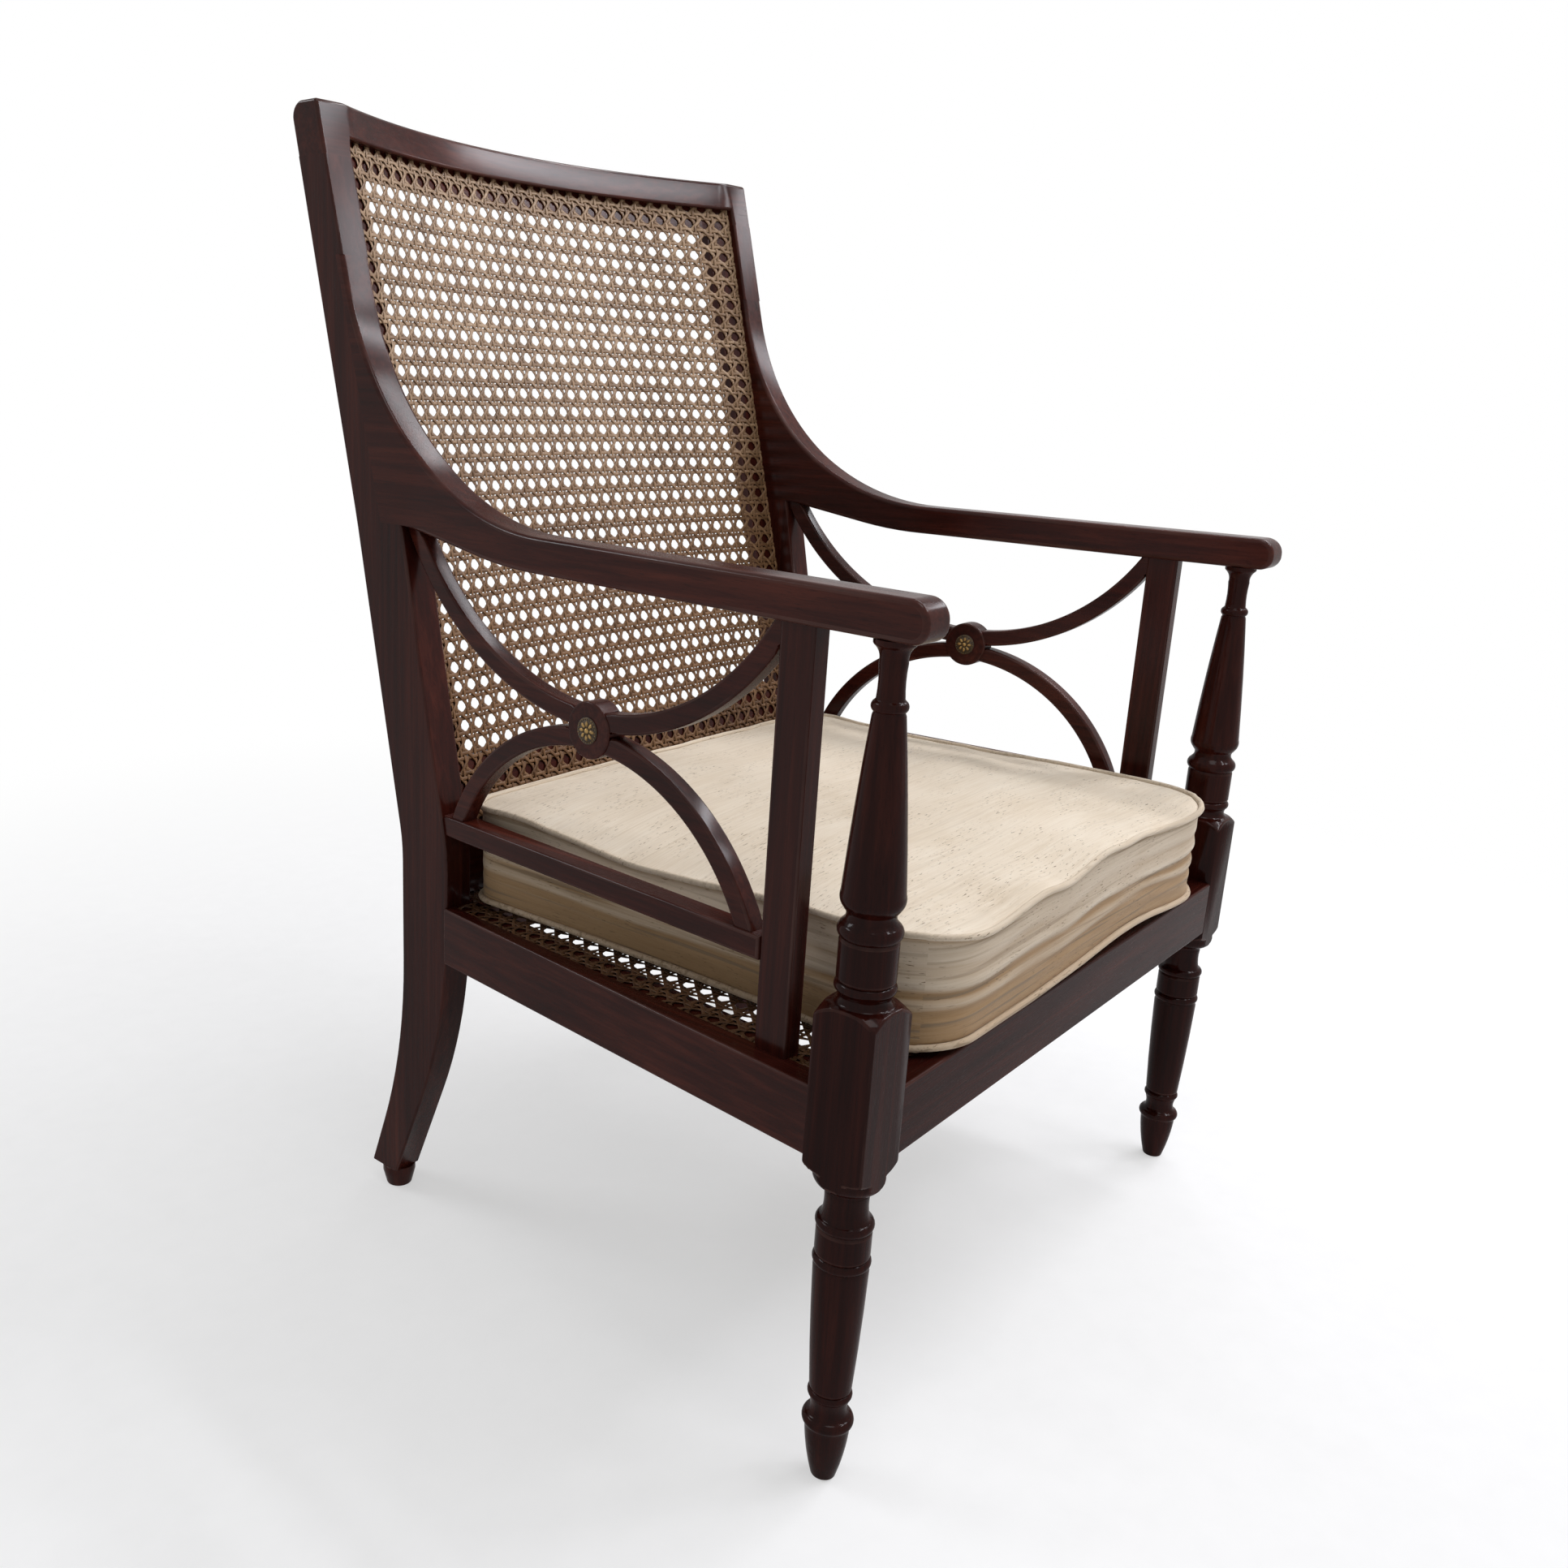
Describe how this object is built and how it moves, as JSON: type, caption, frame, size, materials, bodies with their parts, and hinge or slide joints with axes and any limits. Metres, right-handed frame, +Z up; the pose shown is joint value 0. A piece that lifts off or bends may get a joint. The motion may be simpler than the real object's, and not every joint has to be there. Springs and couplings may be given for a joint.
{
  "type": "caned armchair",
  "caption": "Caned library armchair with turned front legs, sabre back legs, arms swept up into a bowed cane back, bow lattice under the arms and a loose seat cushion.",
  "frame": {"origin": "on the floor, at the middle of the chair's footprint box", "axes": "+Z up, the chair's front towards -Y, its left as seen from the front towards -X"},
  "size_m": [0.639, 0.69, 0.942],
  "materials": {
    "mahogany": "satin",
    "cane": "matte",
    "brass": "satin",
    "screw_steel": "satin",
    "cushion_fabric": "matte"
  },
  "bodies": {
    "frame": {"back_cane": "cane", "back_panel_bottom_rail": "mahogany", "back_panel_left_batten": "mahogany", "back_panel_right_batten": "mahogany", "back_panel_top_batten": "mahogany", "crest_rail": "mahogany", "front_seat_rail": "mahogany", "left_arm": "mahogany", "left_arm_upright": "mahogany", "left_brass_rosettes": "brass", "left_front_leg": "mahogany", "left_lattice_boss": "mahogany", "left_lower_arm_rail": "mahogany", "left_lower_front_bow": "mahogany", "left_lower_rear_bow": "mahogany", "left_rear_foot": "mahogany", "left_side_seat_rail": "mahogany", "left_stile": "mahogany", "left_upper_front_bow": "mahogany", "left_upper_rear_bow": "mahogany", "panel_screws": "screw_steel", "rear_seat_rail": "mahogany", "right_arm": "mahogany", "right_arm_upright": "mahogany", "right_brass_rosettes": "brass", "right_front_leg": "mahogany", "right_lattice_boss": "mahogany", "right_lower_arm_rail": "mahogany", "right_lower_front_bow": "mahogany", "right_lower_rear_bow": "mahogany", "right_rear_foot": "mahogany", "right_side_seat_rail": "mahogany", "right_stile": "mahogany", "right_upper_front_bow": "mahogany", "right_upper_rear_bow": "mahogany", "seat_cane": "cane"},
    "cushion": {"seat_cushion": "cushion_fabric"}
  },
  "joints": [
    {"name": "cushion_lift", "type": "slide", "parent": "frame", "child": "cushion", "axis": [0, 0, 1], "range_m": [0, 0.35]}
  ]
}
